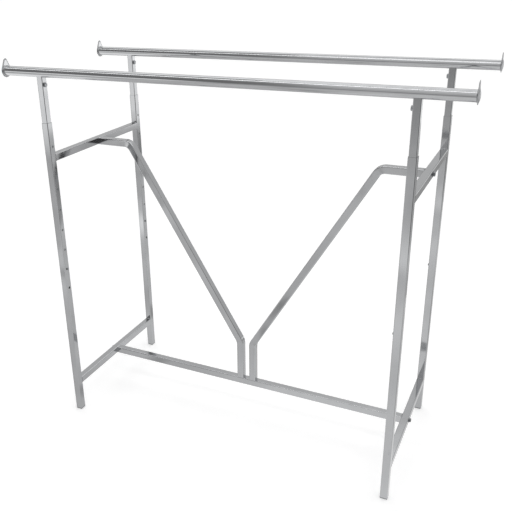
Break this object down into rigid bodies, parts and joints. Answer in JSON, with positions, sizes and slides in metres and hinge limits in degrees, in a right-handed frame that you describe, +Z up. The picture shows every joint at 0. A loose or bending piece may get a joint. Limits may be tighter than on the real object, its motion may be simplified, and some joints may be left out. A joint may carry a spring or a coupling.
{
  "type": "double-bar garment rack",
  "caption": "Chromed garment rack: parallel round hangrails on telescoping, button-locked uprights over square-tube end frames joined by a low stretcher and a V-brace.",
  "frame": {"origin": "on the floor, at the centre of the footprint", "axes": "+X along the hangrails, +Y from the front hangrail to the back one, +Z up; the stored pose has both hangrails in the second hole from the bottom"},
  "size_m": [1.521, 0.591, 1.355],
  "materials": {
    "chrome_tube": "bright chrome plate over steel tube",
    "zinc_steel": "bright zinc-plated steel",
    "foot_plastic": "grey moulded plastic",
    "spring_steel": "tempered spring strip"
  },
  "bodies": {
    "base": {"post_front_left": "chrome_tube", "post_front_right": "chrome_tube", "post_back_left": "chrome_tube", "post_back_right": "chrome_tube", "crossbar_upper_left": "chrome_tube", "crossbar_upper_right": "chrome_tube", "crossbar_lower_left": "chrome_tube", "crossbar_lower_right": "chrome_tube", "welds_left": "chrome_tube", "welds_right": "chrome_tube", "stretcher": "chrome_tube", "brace_left": "chrome_tube", "brace_right": "chrome_tube", "stretcher_plugs": "zinc_steel", "brace_top_plugs": "zinc_steel", "brace_foot_plugs": "zinc_steel", "crossbar_bolts": "zinc_steel", "crossbar_washers": "zinc_steel", "brace_foot_bolts": "zinc_steel", "foot_front_left": "foot_plastic", "foot_front_right": "foot_plastic", "foot_back_left": "foot_plastic", "foot_back_right": "foot_plastic"},
    "front_rail": {"hangrail_front": "chrome_tube", "end_plate_front_left": "chrome_tube", "end_plate_front_right": "chrome_tube", "plate_welds_front": "chrome_tube", "upright_front_left": "chrome_tube", "upright_front_right": "chrome_tube", "stub_front_left": "chrome_tube", "stub_front_right": "chrome_tube", "upright_bolts_front": "zinc_steel", "stub_nuts_front": "zinc_steel", "clip_front_left": "spring_steel", "clip_front_right": "spring_steel"},
    "back_rail": {"hangrail_back": "chrome_tube", "end_plate_back_left": "chrome_tube", "end_plate_back_right": "chrome_tube", "plate_welds_back": "chrome_tube", "upright_back_left": "chrome_tube", "upright_back_right": "chrome_tube", "stub_back_left": "chrome_tube", "stub_back_right": "chrome_tube", "upright_bolts_back": "zinc_steel", "stub_nuts_back": "zinc_steel", "clip_back_left": "spring_steel", "clip_back_right": "spring_steel"},
    "button_front_left_body": {"button_front_left": "zinc_steel"},
    "button_front_right_body": {"button_front_right": "zinc_steel"},
    "button_back_left_body": {"button_back_left": "zinc_steel"},
    "button_back_right_body": {"button_back_right": "zinc_steel"}
  },
  "joints": [
    {"name": "front_lift", "type": "slide", "parent": "base", "child": "front_rail", "axis": [0, 0, 1], "range_m": [-0.0762, 0.381]},
    {"name": "back_lift", "type": "slide", "parent": "base", "child": "back_rail", "axis": [0, 0, 1], "range_m": [-0.0762, 0.381]},
    {"name": "front_left_button", "type": "slide", "parent": "front_rail", "child": "button_front_left_body", "axis": [-1, 0, 0], "range_m": [0, 0.0052], "stiffness_N_per_m": 1500, "springref_m": -0.004, "deforming": ["clip_front_left"]},
    {"name": "front_right_button", "type": "slide", "parent": "front_rail", "child": "button_front_right_body", "axis": [1, 0, 0], "range_m": [0, 0.0052], "stiffness_N_per_m": 1500, "springref_m": -0.004, "deforming": ["clip_front_right"]},
    {"name": "back_left_button", "type": "slide", "parent": "back_rail", "child": "button_back_left_body", "axis": [-1, 0, 0], "range_m": [0, 0.0052], "stiffness_N_per_m": 1500, "springref_m": -0.004, "deforming": ["clip_back_left"]},
    {"name": "back_right_button", "type": "slide", "parent": "back_rail", "child": "button_back_right_body", "axis": [1, 0, 0], "range_m": [0, 0.0052], "stiffness_N_per_m": 1500, "springref_m": -0.004, "deforming": ["clip_back_right"]}
  ]
}
